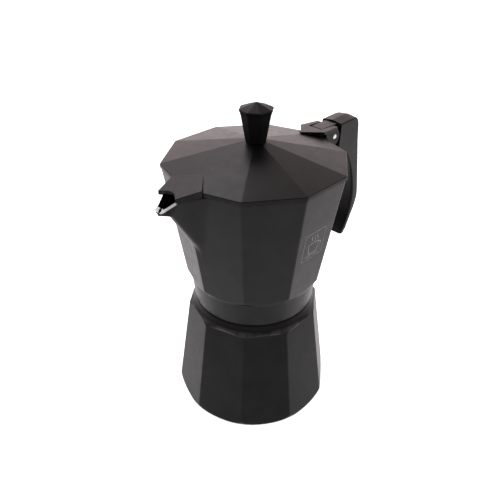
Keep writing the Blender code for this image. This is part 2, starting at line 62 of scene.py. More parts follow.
LID_R = 54.0                    # lid corner radius
RIM_Z = 169.1                   # top of the upper chamber
LID_Z = 171.7                   # top edge of the lid's rim
APEX_RISE = 11.9                # height of the lid's pyramid over LID_Z
BODY_R, WAIST_R, WAIST_Z = 53.3, 42.94, 98.8
COLLAR_LOW_R = 38.6
COLLAR_TOP_Z, COLLAR_LOW_Z = 95.5, 79.2
SHOULDER_R, SHOULDER_Z = 43.07, 71.6
BASE_R, BASE_Z = 53.0, 5.73
WALL = 2.6
NECK_R, NECK_BORE_R, NECK_Z = 33.4, 30.4, 91.5
PITCH, THREAD_Z, THREAD_TURNS = 3.0, 82.5, 2.5
MALE_CREST_R, FEMALE_CREST_R, COLLAR_BORE_R = 34.7, 33.8, 35.1
SEAT_Z = 95.7
CUP_R, FUNNEL_TUBE_R = 29.9, 5.0
PIN_X, PIN_Z, PIN_R = 64.7, 168.4, 1.6
LUG_SWEEP, LUG_HALF = 11.3, 4.4
EAR_IN, EAR_OUT = 5.1, 8.1
ARM_X, SCREW_X = 71.3, 76.6
MORTISE = (82.0, 158.0, 170.2)  # end x, floor z and roof z of the slot in the arm
VALVE_Z = 55.0
BODY_SLOPE = (BODY_R - WAIST_R) / (RIM_Z - WAIST_Z)
BOILER_SLOPE = (SHOULDER_R - BASE_R) / (SHOULDER_Z - BASE_Z)
SHARP = radians(30)             # edges sharper than this are shaded sharp
FAR_OUT = 90.0                  # a radius outside everything, where no envelope limits the facets


def body_corner(z):
    return WAIST_R + (z - WAIST_Z) * BODY_SLOPE


def boiler_corner(z):
    return BASE_R + (z - BASE_Z) * BOILER_SLOPE


# ---------------------------------------------------------------- mesh helpers

def mesh_object(name, points, faces):
    """Make an object from points in millimetres, with its faces turned outward."""
    mesh = bpy.data.meshes.new(name)
    mesh.from_pydata([Vector(p) * MM for p in points], [], faces)
    work = bmesh.new()
    work.from_mesh(mesh)
    bmesh.ops.recalc_face_normals(work, faces=work.faces)
    work.to_mesh(mesh)
    work.free()
    obj = bpy.data.objects.new(name, mesh)
    bpy.context.scene.collection.objects.link(obj)
    return obj


def skin(name, rings, closed=False):
    """Join rings of equal size, or single points, into one surface; a closed one meets itself."""
    points, index = [], []
    for ring in rings:
        index.append(range(len(points), len(points) + len(ring)))
        points.extend(tuple(p) for p in ring)
    faces = []
    pairs = list(zip(index, index[1:]))
    if closed:
        pairs.append((index[-1], index[0]))
    for low, high in pairs:
        size = max(len(low), len(high))
        if size == 1:
            continue
        for i in range(size):
            j = (i + 1) % size
            face = [low[i % len(low)], low[j % len(low)], high[j % len(high)], high[i % len(high)]]
            faces.append(tuple(dict.fromkeys(face)))
    if not closed:
        for end in (index[0], index[-1]):
            if len(end) > 2:
                faces.append(tuple(end))
    return mesh_object(name, points, faces)


def smooth_line(points, times=2):
    """Cut the corners of an open line of points."""
    line = [Vector(p) for p in points]
    for _ in range(times):
        out = [line[0]]
        for before, here, after in zip(line, line[1:], line[2:]):
            out.append(here.lerp(before, 0.25))
            out.append(here.lerp(after, 0.25))
        line = out + [line[-1]]
    return [tuple(p) for p in line]


def round_corners(points, reach, steps=3):
    """Round every corner of a closed outline; reach is how far along its sides each arc starts."""
    out = []
    count = len(points)
    for i, here in enumerate(points):
        here = Vector(here)
        before, after = Vector(points[i - 1]) - here, Vector(points[(i + 1) % count]) - here
        size = min(reach, before.length * 0.45, after.length * 0.45)
        start, end = here + before.normalized() * size, here + after.normalized() * size
        for k in range(steps + 1):
            t = k / steps
            out.append(tuple((1 - t) ** 2 * start + 2 * t * (1 - t) * here + t * t * end))
    return out


def turned(name, profile, sides=ROUND, centre=(0.0, 0.0)):
    """Spin a closed (radius, z) outline about a vertical axis."""
    rings = []
    for radius, z in profile:
        count = 1 if radius < 1e-6 else sides
        rings.append([(centre[0] + radius * cos(2 * pi * k / sides + 0.11),
                       centre[1] + radius * sin(2 * pi * k / sides + 0.11), z)
                      for k in range(count)])
    return skin(name, rings, closed=len(rings[0]) > 1)


def ring_profile(low_r, high_r, low_z, high_z, reach, steps=3):
    """A rectangular section with rounded corners, as a closed (radius, z) outline."""
    box = [(low_r, low_z), (high_r, low_z), (high_r, high_z), (low_r, high_z)]
    return round_corners(box, reach, steps)


def prism(name, outline, lower, upper):
    """Extrude an (x, y) outline from lower to upper, each a height or a function of x."""
    low = lower if callable(lower) else lambda x: lower
    high = upper if callable(upper) else lambda x: upper
    return skin(name, [[(x, y, low(x)) for x, y in outline], [(x, y, high(x)) for x, y in outline]])


def side_plate(name, outline, y_from, y_to):
    """Extrude an (x, z) outline along Y."""
    return skin(name, [[(x, y, z) for x, z in outline] for y in (y_from, y_to)])


def rod(name, radius, low, high, sides=32, centre=(0.0, 0.0)):
    return turned(name, [(0, low), (radius, low), (radius, high), (0, high)], sides, centre)


def bake(obj):
    """Replace the object's mesh with what its modifiers make of it."""
    graph = bpy.context.evaluated_depsgraph_get()
    graph.update()
    mesh = bpy.data.meshes.new_from_object(obj.evaluated_get(graph))
    obj.modifiers.clear()
    obj.data = mesh
    return obj


def combine(target, tool, operation):
    step = target.modifiers.new(operation, "BOOLEAN")
    step.operation = operation
    step.object = tool
    bake(target)
    work = bmesh.new()
    work.from_mesh(target.data)
    bmesh.ops.remove_doubles(work, verts=work.verts, dist=1e-6)
    bmesh.ops.dissolve_degenerate(work, dist=1e-6, edges=work.edges)
    work.to_mesh(target.data)
    work.free()
    bpy.data.objects.remove(tool)
    return target


def cut(target, *tools):
    for tool in tools:
        combine(target, tool, "DIFFERENCE")
    return target


def join(target, *tools):
    for tool in tools:
        combine(target, tool, "UNION")
    return target


def soften(obj, width, angle, steps):
    """Round the edges sharper than angle."""
    step = obj.modifiers.new("bevel", "BEVEL")
    step.width = width * MM
    step.segments = steps
    step.limit_method = "ANGLE"
    step.angle_limit = radians(angle)
    step.use_clamp_overlap = True
    return bake(obj)


def piece(obj, material, body, node):
    """Shade a finished mesh, give it its material and hang it on its body."""
    obj.data.materials.clear()
    for each in material if isinstance(material, tuple) else (material,):
        obj.data.materials.append(each)
    obj.data.shade_smooth()
    obj.data.set_sharp_from_angle(angle=SHARP)
    weigh = obj.modifiers.new("normals", "WEIGHTED_NORMAL")
    weigh.keep_sharp = True
    weigh.weight = 80
    bake(obj)
    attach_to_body(obj, body)
    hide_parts(node)


# ---------------------------------------------------------------- facet and beak surfaces

def angles(extra=()):
    """Angles round the pot, close together at the facet corners and over the beak."""
    near = (0, 0.2, 0.45, 0.8, 1.3, 2.2, 4.0, 7.5, 12.0)
    found = {round(36 * k + side * a, 3) % 360 for k in range(FACETS) for a in near
             for side in (-1, 1)}
    found |= {round(36 * k + 18.0, 3) for k in range(FACETS)}
    found |= {round(180 + side * a, 3) for a in extra for side in (-1, 1)}
    return np.radians(sorted(found))


ANGLES = angles()
BEAK_ANGLES = angles((0.3, 0.6, 0.9, 1.2, 1.5, 1.8, 2.1, 2.5, 2.9, 3.4, 4.6, 5.3, 6.0, 6.8, 8.4, 9.4,
                      10.5, 13.2, 14.6, 16.2))


def facet_radius(theta, corner):
    """Radius of a ten-sided ring with slightly rounded corners at each angle."""
    total = np.zeros_like(theta)
    for k in range(FACETS):
        total += np.maximum(np.cos(theta - HALF_STEP * (2 * k + 1)), 0) ** CORNER_POWER
    return corner * FLAT / total ** (1 / CORNER_POWER)


def soft_min(a, b, k):
    h = np.maximum(k - np.abs(a - b), 0) / k
    return np.minimum(a, b) - h * h * k / 4


def soft_max(a, b, k):
    return -soft_min(-np.asarray(a, float), -np.asarray(b, float), k)


def circle(theta, radius, z):
    return [(r * cos(a), r * sin(a), h) for a, r, h in
            zip(theta, np.broadcast_to(radius, theta.shape), np.broadcast_to(z, theta.shape))]


def thread(theta, z, start, rise):
    """Height of a helical ridge on a turned wall, faded out over its first and last quarter turn."""
    turn = ((theta - start) / (2 * pi)) % 1.0
    count = np.round((z - THREAD_Z) / PITCH - turn)
    along = count + turn
    fade = np.clip(np.minimum(along, THREAD_TURNS - along) / 0.25, 0, 1)
    distance = np.abs(z - THREAD_Z - PITCH * along)
    return rise * fade * np.clip((0.85 - distance) / 0.55, 0, 1)


SPOUT_ROOT, SPOUT_TIP = 0.92 * LID_R, 1.295 * LID_R
SPOUT_ROOT_HALF, SPOUT_TIP_HALF = 0.224 * LID_R, 0.055 * LID_R
KEEL_ROOT, KEEL_RISE, KEEL_END_RISE = 0.893 * LID_R, 1.71, 0.44
KEEL_LOW_Z, KEEL_TIP_Z = LID_Z - 0.695 * LID_R, LID_Z - 0.174 * LID_R
LIP_START = 1.158 * LID_R
LIP_TIP_Z = LID_Z - 0.118 * LID_R
LIP_DROP = (RIM_Z - LIP_TIP_Z) / (SPOUT_TIP - LIP_START)
LIP_BEVEL = 0.87
CHANNEL_INSET = 1.7             # the channel's end and floor lie this far inside the beak


def lip_height(x):
    return RIM_Z - LIP_DROP * np.maximum(x - LIP_START, 0)


def beak_radius(theta, z, inset):
    """How far the beak reaches at each angle and height, by halving the interval."""
    away = np.abs(np.arctan2(np.sin(theta - pi), np.cos(theta - pi)))
    steep = np.tan(np.minimum(away, radians(60)))
    reach = SPOUT_TIP - inset
    low, high = np.full(theta.shape, 20.0), np.full(theta.shape, reach)
    for _ in range(26):
        x = (low + high) / 2
        inside = beak_half(x, z, inset) > x * steep
        low, high = np.where(inside, x, low), np.where(inside, high, x)
    tip = beak_half(np.full(theta.shape, reach), z, inset) > reach * steep
    found = np.where(tip, reach, low) / np.cos(np.minimum(away, radians(60)))
    return np.where(low > 20.0, found, 0.0)


def beak_half(x, z, inset):
    """Half the beak's width at distance x from the axis and height z: a V with a rounded keel."""
    climb = KEEL_LOW_Z + KEEL_RISE * (x - KEEL_ROOT)
    keel = soft_min(climb, KEEL_TIP_Z + KEEL_END_RISE * (x - SPOUT_TIP), 1.5) + inset
    level = lip_height(x) - (0 if inset else LIP_BEVEL)
    share = (z - keel) / (level - keel)
    along = (x - SPOUT_ROOT) / (SPOUT_TIP - SPOUT_ROOT)
    half = SPOUT_ROOT_HALF + (SPOUT_TIP_HALF - SPOUT_ROOT_HALF) * along - 0.6 * inset
    rise = np.clip(share, 0, 1)
    return np.where(share > 0, half * (0.27 * np.tanh(np.sqrt(rise / 0.03)) + 0.73 * rise), -1.0)


def wall_radius(theta, z, inset):
    """Upper chamber's wall with the beak blended in; inset moves it inward by a wall's thickness."""
    away = np.degrees(np.abs(np.arctan2(np.sin(theta - pi), np.cos(theta - pi))))
    share = np.clip(away / 6, 0, 1)
    blend = 0.7 + 2.2 * share * share * (3 - 2 * share)
    body = facet_radius(theta, body_corner(z) - (WALL / FLAT if inset else 0))
    return soft_max(body, beak_radius(theta, z, inset), blend)


def rim_height(theta, inset):
    """Height of the chamber's rim at each angle, which drops along the beak's lip."""
    z = np.full(theta.shape, RIM_Z)
    for _ in range(40):
        x = -wall_radius(theta, z, inset) * np.cos(theta)
        z = 0.5 * z + 0.5 * lip_height(x)
    return z


# ---------------------------------------------------------------- materials

class Look:
    """A material under construction, with short ways to add nodes."""

    def __init__(self, name, color, roughness, metallic=0.0, **sockets):
        self.material = bpy.data.materials.new(name)
        self.material.use_nodes = True
        self.tree = self.material.node_tree
        self.shader = self.tree.nodes["Principled BSDF"]
        self.set("Base Color", (*color, 1.0))
        self.set("Roughness", roughness)
        self.set("Metallic", metallic)
        for socket, value in sockets.items():
            self.set(socket.replace("_", " "), value)
        self.place = self.node("ShaderNodeTexCoord").outputs["Object"]

    def set(self, socket, value):
        self.shader.inputs[socket].default_value = value

    def node(self, kind, **inputs):
        made = self.tree.nodes.new(kind)
        for key, value in inputs.items():
            self.feed(made.inputs[key.replace("_", " ")], value)
        return made

    def feed(self, socket, value):
        if isinstance(value, bpy.types.NodeSocket):
            self.tree.links.new(value, socket)
        else:
            socket.default_value = value

    def color(self, value):
        self.feed(self.shader.inputs["Base Color"], value)

    def rough(self, value):
        self.feed(self.shader.inputs["Roughness"], value)

    def math(self, operation, first, second):
        made = self.tree.nodes.new("ShaderNodeMath")
        made.operation = operation
        self.feed(made.inputs[0], first)
        self.feed(made.inputs[1], second)
        return made.outputs[0]

    def noise(self, size, detail=2.0, stretch=(1.0, 1.0, 1.0), offset=0.0):
        """Noise whose features are about size millimetres across."""
        mapping = self.node("ShaderNodeMapping", Vector=self.place, Scale=stretch,
                            Location=(offset, offset, offset))
        made = self.node("ShaderNodeTexNoise", Vector=mapping.outputs[0], Scale=1 / (size * MM),
                         Detail=detail, Roughness=0.55)
        return made.outputs["Fac"]

    def spread(self, value, low, high, to_low=0.0, to_high=1.0):
        made = self.node("ShaderNodeMapRange", Value=value)
        for key, number in zip((1, 2, 3, 4), (low, high, to_low, to_high)):
            made.inputs[key].default_value = number
        made.clamp = True
        return made.outputs[0]

    def mix(self, share, first, second):
        made = self.tree.nodes.new("ShaderNodeMix")
        made.data_type = "RGBA"
        self.feed(made.inputs[0], share)
        for socket, value in ((made.inputs[6], first), (made.inputs[7], second)):
            if isinstance(value, tuple):
                value = (*value, 1.0)
            self.feed(socket, value)
        return made.outputs[2]

    def bump(self, height, depth):
        """Raise the surface by height times depth millimetres."""
        made = self.node("ShaderNodeBump", Height=height, Strength=1.0, Distance=depth * MM)
        last = self.shader.inputs["Normal"]
        if last.links:
            self.feed(made.inputs["Normal"], last.links[0].from_socket)
        self.feed(last, made.outputs[0])

    def edges(self, low, high):
        """Where the surface turns a sharp outer edge."""
        pointed = self.node("ShaderNodeNewGeometry").outputs["Pointiness"]
        return self.spread(pointed, low, high)


def coating(name, level, roughness=0.36, painted_sheen=None):
    """Satin black baked coating: fine grain, faint blotches, and light specks on sharp corners, partly wear
    that bares the metal and partly painted edge highlight.

    Between the two heights in its last argument it is lighter, in soft patches: a painted sheen standing in
    for light on the boiler's shoulder.
    """
    tone, wear_and_highlight = (0.0034, 0.0032, 0.0033), (0.16, 0.145, 0.14)
    look = Look(name, tone, roughness, 0.0, Specular_IOR_Level=level)
    blotch = look.noise(14.0, 3.0)
    grain = look.noise(0.45, 3.0)
    handled = look.noise(5.0, 4.0, offset=3.1)
    darker = tuple(0.6 * c for c in tone)
    lighter = tuple(1.9 * c for c in tone)
    base = look.mix(look.spread(blotch, 0.3, 0.72), darker, lighter)
    # painted sheen: the band between the two heights is lightened in soft patches, standing in for light
    # caught by the boiler's shoulder
    if painted_sheen:
        height = look.node("ShaderNodeSeparateXYZ", Vector=look.place).outputs["Z"]
        low, high = painted_sheen
        rise = look.spread(height, low * MM, (low + 0.4) * MM)
        fall = look.spread(height, (high - 1.8) * MM, high * MM, 1.0, 0.0)
        patch = look.spread(look.noise(11.0, 2.0, offset=0.4), 0.38, 0.62, 0.15, 1.0)
        sheen_share = look.math("MULTIPLY", look.math("MULTIPLY", rise, fall), patch)
        base = look.mix(sheen_share, base, (0.062, 0.057, 0.060))
    # light specks on sharp edges: partly wear of the coating, partly painted edge highlight
    speck = look.math("MULTIPLY", look.edges(0.53, 0.6), look.spread(look.noise(1.1, 4.0), 0.56, 0.66))
    look.color(look.mix(look.math("MULTIPLY", speck, 0.55), base, wear_and_highlight))
    rough = look.spread(handled, 0.25, 0.75, roughness - 0.035, roughness + 0.045)
    grit = look.spread(grain, 0.3, 0.7, -0.02, 0.02)
    look.rough(look.math("ADD", rough, grit))
    look.bump(grain, 0.012)
    look.bump(look.noise(0.16, 2.0), 0.005)
    return look.material


def turned_metal(name, color, roughness, along=(1.0, 1.0, 0.02), size=0.35, tint=None):
    """Bare metal with fine tool marks, which run along the axis whose stretch is small."""
    look = Look(name, color, roughness, 1.0)
    marks = look.noise(size, 3.0, stretch=along)
    stain = look.noise(7.0, 4.0, offset=1.7)
    darker = tint or tuple(0.72 * c for c in color)
    look.color(look.mix(look.spread(stain, 0.35, 0.75), color, darker))
    rough = look.spread(marks, 0.25, 0.75, roughness - 0.07, roughness + 0.1)
    look.rough(rough)
    look.bump(marks, 0.02)
    return look.material


def plastic(name, level, tone=(0.0032, 0.003, 0.0032), roughness=0.4):
    """Moulded black phenolic: a fine leathery grain and lightened edges, partly wear and partly painted edge
    highlight.
    """
    look = Look(name, tone, roughness, 0.0, Specular_IOR_Level=level)
    grain = look.noise(0.6, 4.0)
    blotch = look.noise(9.0, 3.0, offset=5.3)
    # sharp edges lightened: partly wear, partly painted edge highlight
    painted_sheen = look.math("MULTIPLY", look.edges(0.52, 0.6), 0.25)
    base = look.mix(look.spread(blotch, 0.3, 0.7), tone, tuple(1.7 * c for c in tone))
    look.color(look.mix(painted_sheen, base, (0.05, 0.046, 0.045)))
    look.rough(look.spread(blotch, 0.3, 0.7, roughness - 0.05, roughness + 0.05))
    look.bump(grain, 0.02)
    return look.material


def rubber(name):
    look = Look(name, (0.7, 0.68, 0.62), 0.62, 0.0, Sheen_Weight=0.15)
    stain = look.noise(4.0, 4.0)
    base = look.mix(look.spread(stain, 0.35, 0.75), (0.74, 0.72, 0.67), (0.6, 0.56, 0.48))
    look.color(base)
    look.rough(look.spread(stain, 0.3, 0.7, 0.55, 0.7))
    look.bump(look.noise(0.5, 3.0), 0.03)
    return look.material


def ink(name):
    look = Look(name, (0.24, 0.23, 0.23), 0.5, 0.0, Specular_IOR_Level=0.3)
    faded = look.noise(2.5, 4.0)
    base = look.mix(look.spread(faded, 0.35, 0.75), (0.28, 0.265, 0.265), (0.16, 0.15, 0.15))
    look.color(base)
    look.rough(look.spread(faded, 0.3, 0.7, 0.42, 0.6))
    look.bump(look.noise(0.3, 2.0), 0.01)
    return look.material


# ---------------------------------------------------------------- boiler

def make_boiler():
    base = smooth_line([(48.4, 0), (50.4, 0.55), (51.7, 2.0), (52.5, 4.1), (53.4, 7.0), (55.5, 14.0)], 2)
    # the shoulder is a turned hollow, which meets the facets in shallow scallops
    shoulder = [(45.2, SHOULDER_Z - 1.0), (44.1, 71.2), (SHOULDER_R, 71.78), (42.5, 72.1), (41.95, 72.4),
                (41.5, 72.78), (41.1, 73.12), (40.7, 73.45), (40.2, 74.1), (39.7, 74.85), (39.3, 75.7),
                (38.95, 76.6), (38.6, 77.5), (38.3, 78.15), (37.7, 78.65), (34.2, 78.75)]
    rings = [[(0, 0, 0.7)]]
    rings += [circle(ANGLES, r, z) for r, z in smooth_line([(42, 0.7), (44.2, 0.6), (45.4, 0), (48.0, 0)])]
    middle = [(FAR_OUT, z) for z in np.linspace(16, 70.2, 14)]
    for envelope, z in base + middle + shoulder:
        facets = facet_radius(ANGLES, boiler_corner(z))
        crease = 0.5 if z < 20 else 0.1
        rings.append(circle(ANGLES, soft_min(facets, envelope, crease), z))
    for r, z in ((NECK_R + 0.25, 78.75), (NECK_R, 79.0), (NECK_R, 80.6), (NECK_R, 81.4)):
        rings.append(circle(ANGLES, r, z))
    for z in np.arange(81.6, 91.0, 0.2):
        rise = thread(ANGLES, z, 0.0, MALE_CREST_R - NECK_R)
        rings.append(circle(ANGLES, NECK_R + rise, z))
    inner_top = boiler_corner(70) * FLAT - 3.2
    inner_low = boiler_corner(8) * FLAT - 3.2
    inside = [(NECK_R, 91.1), (NECK_R - 0.4, NECK_Z), (NECK_BORE_R + 0.3, NECK_Z),
              (NECK_BORE_R, NECK_Z - 0.3)]
    inside += smooth_line([(NECK_BORE_R, 80.0), (NECK_BORE_R, 77.2), (inner_top - 2.2, 73.8),
                           (inner_top, 69.5), (inner_low, 8.5), (inner_low - 3.0, 4.0), (20, 4)])
    rings += [circle(ANGLES, r, z) for r, z in inside]
    rings.append([(0, 0, 4)])
    boiler = skin("boiler_shell", rings)
    hole = rod("valve_hole", 5.0, -8, 4, 48)
    hole.matrix_world = valve_frame()
    return cut(boiler, hole)


# ---------------------------------------------------------------- safety valve

def valve_frame():
    """The valve's own frame: origin on the facet, +Z along the facet's outward normal."""
    apothem = boiler_corner(VALVE_Z) * FLAT
    tilt = Matrix.Rotation(-pi / 2 - BOILER_SLOPE * FLAT, 4, "X")
    return Matrix.Translation(Vector((0, apothem, VALVE_Z)) * MM) @ tilt


def on_valve(obj):
    obj.data.transform(valve_frame())
    return obj


def make_valve_body():
    """Brass body: hexagon with turned chamfers, round nose with a rolled edge, and a bore."""
    stem = [(0, -6.5), (4.3, -6.5), (4.6, -6.2), (4.6, 2.0), (5.4, 2.0), (5.4, 7.0), (5.15, 7.2),
            (5.15, 7.6), (5.4, 7.8), (5.4, 8.5), (4.9, 9.2), (0, 9.2)]
    body = turned("valve_brass", stem, 48)
    corner = 6.5 / cos(pi / 6)
    outline = [(corner * cos(k * pi / 3), corner * sin(k * pi / 3)) for k in range(6)]
    hexagon = prism("hexagon", outline, 1.5, 5.6)
    dome = turned("dome", [(0, 1.0), (6.6, 1.0), (7.7, 2.1), (7.7, 5.0), (6.6, 6.1), (0, 6.1)], 48)
    combine(hexagon, dome, "INTERSECT")
    join(body, hexagon)
    bore = [(0, -7), (1.3, -7), (1.3, -5), (2.7, -5), (2.7, 8.6), (3.1, 9.0), (3.1, 10), (0, 10)]
    cut(body, turned("bore", bore, 48))
    return on_valve(soften(body, 0.12, 30, 2))


SPRING_LOW, SPRING_HIGH = -3.1, 7.0


def make_spring():
    """A wound spring with closed ends."""
    coil_r, wire_r, turns, sides = 1.75, 0.26, 7.5, 10
    low, high = SPRING_LOW, SPRING_HIGH
    rings = []
    steps = int(turns * 28)
    for k in range(steps + 1):
        t = k / steps
        angle = 2 * pi * turns * t
        rise = t - 0.06 * sin(2 * pi * t)
        z = low + wire_r + (high - low - 2 * wire_r) * rise
        rings.append([((coil_r + wire_r * cos(a)) * cos(angle), (coil_r + wire_r * cos(a)) * sin(angle),
                       z + wire_r * sin(a)) for a in np.linspace(0, 2 * pi, sides, endpoint=False)])
    return on_valve(skin("valve_coil", rings))


def compress(spring):
    """Give the spring a mesh of its own."""
    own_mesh(spring)


def make_plunger():
    profile = [(0, -4.7), (2.0, -4.7), (2.3, -4.4), (2.3, -3.9), (0.9, -3.4), (0.8, -3.0), (0.8, 8.9),
               (0.7, 9.3), (0.4, 9.5), (0, 9.5)]
    return on_valve(turned("valve_stem", profile, 32))


# ---------------------------------------------------------------- funnel, plates and gasket

def centre_of(points):
    return np.array([sum(p.x for p in points) / len(points), sum(p.y for p in points) / len(points)])


ROW_RISE = 0.8660254            # the sine of 60 degrees, for rows of a triangular grid


def perforated(name, radius, hole_r, spacing, field, low, high):
    """A round plate with a triangular grid of real holes."""
    def loop(cx, cy, r, sides):
        return [Vector((cx + r * cos(2 * pi * k / sides), cy + r * sin(2 * pi * k / sides)))
                for k in range(sides)]
    loops = [loop(0, 0, radius, ROUND)]
    rows = int(field / spacing) + 2
    for row in range(-rows, rows + 1):
        for column in range(-rows, rows + 1):
            cx, cy = spacing * (column + 0.5 * (row % 2)), spacing * row * ROW_RISE
            if cx * cx + cy * cy < field * field:
                loops.append(loop(cx, cy, hole_r, 10))
    points, edges = [], []
    for each in loops:
        start = len(points)
        points += each
        edges += [(start + k, start + (k + 1) % len(each)) for k in range(len(each))]
    flat, _, faces, _, _, _ = delaunay_2d_cdt(points, edges, [], 1, 1e-6)
    holes = loops[1:]
    centres = np.array([centre_of(hole) for hole in holes])
    kept = []
    for face in faces:
        middle = centre_of([flat[i] for i in face])
        if np.min(np.hypot(*(centres - middle).T)) > hole_r * 0.96:
            kept.append(tuple(face))
    count = len(flat)
    solid = [(p.x, p.y, low) for p in flat] + [(p.x, p.y, high) for p in flat]
    walls = {}
    for face in kept:
        for i, a in enumerate(face):
            b = face[(i + 1) % len(face)]
            walls[(a, b)] = walls.get((a, b), 0) + 1
    border = [(a, b) for a, b in walls if (b, a) not in walls]
    shapes = [tuple(reversed(f)) for f in kept] + [tuple(i + count for i in f) for f in kept]
    shapes += [(a, b, b + count, a + count) for a, b in border]
    return mesh_object(name, solid, shapes)


def make_funnel():
    cup = [(CUP_R - 0.9, 92.3), (CUP_R - 0.6, 92.6), (32.4, 92.6), (32.9, 92.3), (32.6, NECK_Z + GAP),
           (CUP_R + 0.2, NECK_Z + GAP), (CUP_R, 91.4), (CUP_R, 74.5), (CUP_R, 72.0), (CUP_R - 2.2, 71.0),
           (8.4, 62.8), (6.4, 62.0), (6.4, 60.0), (6.4, 54.4), (6.1, 54.0), (FUNNEL_TUBE_R + GAP, 54.0),
           (FUNNEL_TUBE_R + GAP, 62.0), (7.6, 63.2), (CUP_R - 3.0, 71.8), (CUP_R - 0.9, 72.6),
           (CUP_R - 0.9, 75.0)]
    return turned("funnel_cup", cup, ROUND)


def make_funnel_tube():
    bore = FUNNEL_TUBE_R - 0.8
    tube = [(bore, 9.0), (bore + 0.3, 8.9), (FUNNEL_TUBE_R - 0.2, 8.9), (FUNNEL_TUBE_R, 9.1),
            (FUNNEL_TUBE_R, 61.3), (FUNNEL_TUBE_R - 0.2, 61.5), (bore + 0.2, 61.5), (bore, 61.3)]
    return turned("funnel_stem", tube, 64)


# ---------------------------------------------------------------- upper chamber

def make_collector():
    """One skin: up the outside, over the rim, down the inside, up the column, and back by the bore."""
    theta = BEAK_ANGLES
    envelope = [(COLLAR_LOW_R - 0.45, COLLAR_LOW_Z), (COLLAR_LOW_R - 0.1, 79.35), (38.62, 79.7), (39.0, 83.5),
                (39.5, 88.5), (40.0, 93.6), (40.17, 95.0), (40.3, 95.45), (40.75, 96.1), (41.3, 96.9),
                (42.1, 97.8), (42.94, 98.7), (44.2, 99.9), (46.5, 101.8), (50, 105.0)]
    rings = []
    for r, z in envelope:
        facets = facet_radius(theta, body_corner(z)) if z > COLLAR_TOP_Z - 0.2 else FAR_OUT
        rings.append(circle(theta, soft_min(facets, np.full(theta.shape, r), 0.35), z))
    for z in np.linspace(108, 130, 6):
        rings.append(circle(theta, wall_radius(theta, z, 0.0), z))
    top = rim_height(theta, 0.0)
    lip = np.clip((-wall_radius(theta, top, 0.0) * np.cos(theta) - LIP_START + 1.5) / 1.5, 0, 1)
    edge = top - 0.1 - (LIP_BEVEL - 0.1) * lip
    start = 132.0
    for t in np.linspace(0, 1, 34):
        z = start + (edge - 0.2 - start) * t
        rings.append(circle(theta, wall_radius(theta, z, 0.0), z))
    outer = wall_radius(theta, edge - 0.2, 0.0)
    inner_top = rim_height(theta, CHANNEL_INSET)
    inner = wall_radius(theta, inner_top - 0.3, CHANNEL_INSET)
    rings.append(circle(theta, outer - 0.05, edge))
    crest = (outer - 0.28) * (1 - lip) + (inner + 0.12) * lip
    rings.append(circle(theta, crest, top + (inner_top - top) * lip))
    rings.append(circle(theta, inner + 0.08 + 0.2 * (1 - lip), inner_top))
    rings.append(circle(theta, inner + 0.03, inner_top - 0.12))
    for t in np.linspace(1, 0, 34):
        z = start + (inner_top - 0.3 - start) * t
        rings.append(circle(theta, wall_radius(theta, z, CHANNEL_INSET), z))
    low = 100.3
    for z in (125, 115, 106, 103.5):
        rings.append(circle(theta, wall_radius(theta, z, CHANNEL_INSET), z))
    edge = facet_radius(theta, body_corner(low + 2) - WALL / FLAT)
    for inset, z in ((0.5, 101.6), (1.5, 100.7), (3.5, low)):
        rings.append(circle(theta, edge - inset, z))
    column = smooth_line([(34, low + 0.3), (20, 103.4), (11, 107.0), (7.4, 111.5), (6.6, 130), (5.6, 148.2),
                          (4.6, 150), (0.001, 150.4)], 2)
    rings += [circle(theta, r, z) for r, z in column[:-1]]
    rings.append([(0, 0, 150.4)])
    return finish_collector(rings)


def finish_collector(rings):
    """Add the brew path below the column, the outlets, the lug and a dimple in the beak's tip."""
    theta = BEAK_ANGLES
    bore = [(COLLAR_LOW_R - 1.2, COLLAR_LOW_Z), (COLLAR_BORE_R + 0.5, COLLAR_LOW_Z), (COLLAR_BORE_R, 79.7),
            (COLLAR_BORE_R, 80.8)]
    under = [circle(theta, r, z) for r, z in bore]
    for z in np.arange(81.6, 91.2, 0.2):
        drop = thread(theta, z, pi, COLLAR_BORE_R - FEMALE_CREST_R)
        under.append(circle(theta, COLLAR_BORE_R - drop, z))
    path = [(COLLAR_BORE_R, 91.6), (COLLAR_BORE_R, SEAT_Z - 0.2), (COLLAR_BORE_R - 0.3, SEAT_Z),
            (30.8, SEAT_Z), (30.8, 96.8), (26.0, 97.0), (14, 100.6), (8.0, 103.0), (4.4, 105.2), (3.6, 106.6),
            (3.6, 147.0)]
    under += [circle(theta, r, z) for r, z in path]
    rings = [[(0, 0, 147.0)]] + under[::-1] + rings
    shell = skin("chamber_shell", rings)
    cut(shell, prism("outlets", [(-9, -1.6), (9, -1.6), (9, 1.6), (-9, 1.6)], 142.5, 146.9))
    cut(shell, rod("tip_dimple", 0.95, 163.9, 170, 24, (-69.1, -0.8)))
    return join(shell, make_lug())


